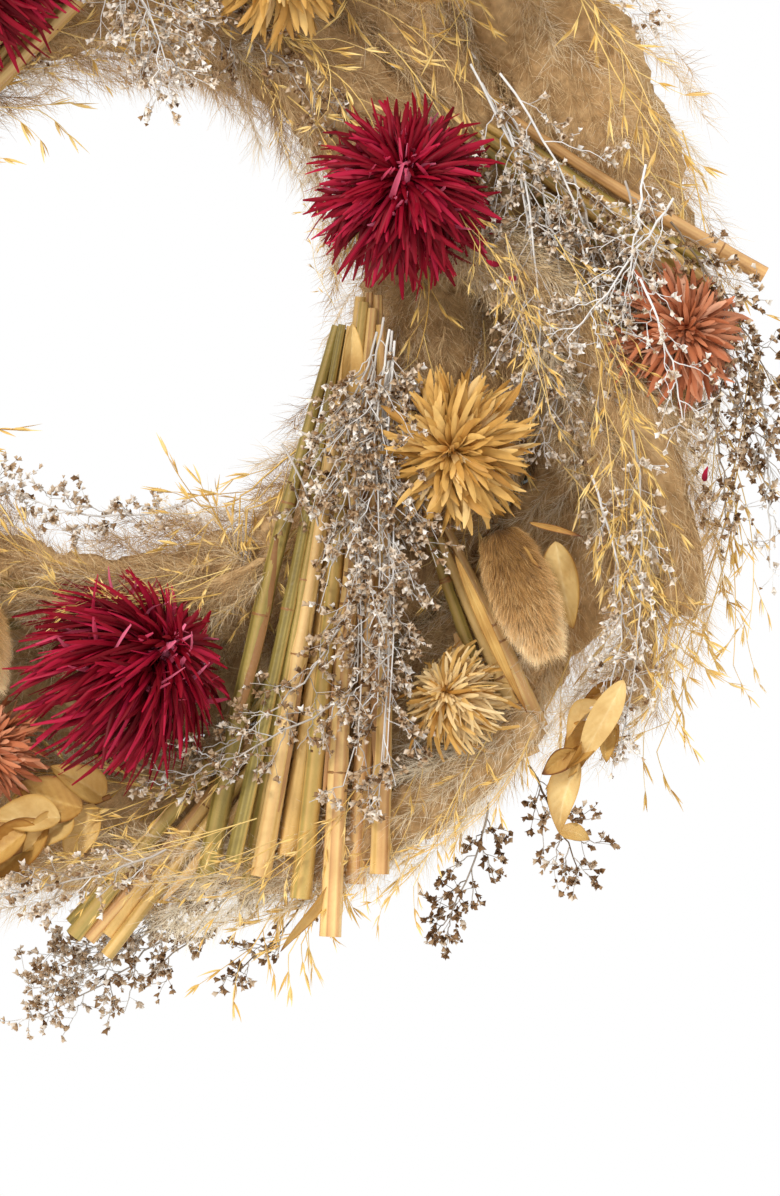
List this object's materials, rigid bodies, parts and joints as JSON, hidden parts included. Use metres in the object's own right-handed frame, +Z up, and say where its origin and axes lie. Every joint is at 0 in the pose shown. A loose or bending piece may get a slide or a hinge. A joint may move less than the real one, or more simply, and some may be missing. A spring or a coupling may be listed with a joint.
{
  "type": "door wreath",
  "caption": "Round harvest door wreath of dried flowers, straw and plumes on a wire frame, hung by a pivoting wire loop.",
  "frame": {"origin": "inside top of the hanging loop, where the door hook bears", "axes": "+Z up, +Y out of the back towards the door, the flowers face -Y, +X to the right seen from the front"},
  "size_m": [0.4189, 0.1065, 0.4168],
  "materials": {
    "frame_wire": "matt dark enamel on wire",
    "loop_wire": "bright galvanised wire",
    "binding_wire": "thin dark lacquered wire",
    "core_stems": "dry cut stems, matt",
    "flower_stems": "dry stalks, matt",
    "plume": "soft hairs, matt and slightly translucent",
    "straw": "ribbed straw with a waxy sheen",
    "magenta_petals": "dry papery bracts",
    "yellow_petals": "dry papery petals",
    "rust_petals": "dry papery petals",
    "bunny_tail": "dense soft fur",
    "leaf": "dry leaf, slight sheen",
    "caspia": "bleached papery florets on thin grey stems",
    "spikelet": "thin golden husks"
  },
  "bodies": {
    "hanger": {"hanging_loop": "loop_wire"},
    "wreath": {"frame_ring_inner": "frame_wire", "frame_ring_mid_inner": "frame_wire", "frame_ring_mid_outer": "frame_wire", "frame_ring_outer": "frame_wire", "frame_cross_wires": "frame_wire", "binding_wire": "binding_wire", "stem_core": "core_stems", "flower_stems": "flower_stems", "plume_inner_1": "plume", "plume_inner_2": "plume", "plume_inner_3": "plume", "plume_inner_4": "plume", "plume_inner_5": "plume", "plume_outer_1": "plume", "plume_outer_2": "plume", "plume_outer_3": "plume", "plume_outer_4": "plume", "plume_outer_5": "plume", "plume_outer_6": "plume", "straw_bundle_1": "straw", "straw_bundle_2": "straw", "straw_bundle_3": "straw", "straw_bundle_4": "straw", "straw_bundle_5": "straw", "straw_bundle_6": "straw", "straw_bundle_7": "straw", "magenta_flower_1": "magenta_petals", "magenta_flower_2": "magenta_petals", "magenta_flower_3": "magenta_petals", "magenta_flower_4": "magenta_petals", "yellow_flower_1": "yellow_petals", "yellow_flower_2": "yellow_petals", "yellow_flower_3": "yellow_petals", "yellow_flower_4": "yellow_petals", "yellow_flower_5": "yellow_petals", "rust_flower_1": "rust_petals", "rust_flower_2": "rust_petals", "rust_flower_3": "rust_petals", "rust_flower_4": "rust_petals", "bunny_tail_1": "bunny_tail", "bunny_tail_2": "bunny_tail", "bunny_tail_3": "bunny_tail", "bunny_tail_4": "bunny_tail", "leaf_cluster_1": "leaf", "leaf_cluster_2": "leaf", "leaf_cluster_3": "leaf", "leaf_cluster_4": "leaf", "caspia_spray_1": "caspia", "caspia_spray_2": "caspia", "caspia_spray_3": "caspia", "caspia_spray_4": "caspia", "caspia_spray_5": "caspia", "caspia_spray_6": "caspia", "caspia_spray_7": "caspia", "spikelet_spray_1": "spikelet", "spikelet_spray_2": "spikelet", "spikelet_spray_3": "spikelet", "spikelet_spray_4": "spikelet", "spikelet_spray_5": "spikelet"}
  },
  "joints": [
    {"name": "wreath_swing", "type": "hinge", "parent": "hanger", "child": "wreath", "pos_m": [0, 0, -0.03829], "axis": [-1, 0, 0], "range_deg": [0, 25]}
  ]
}
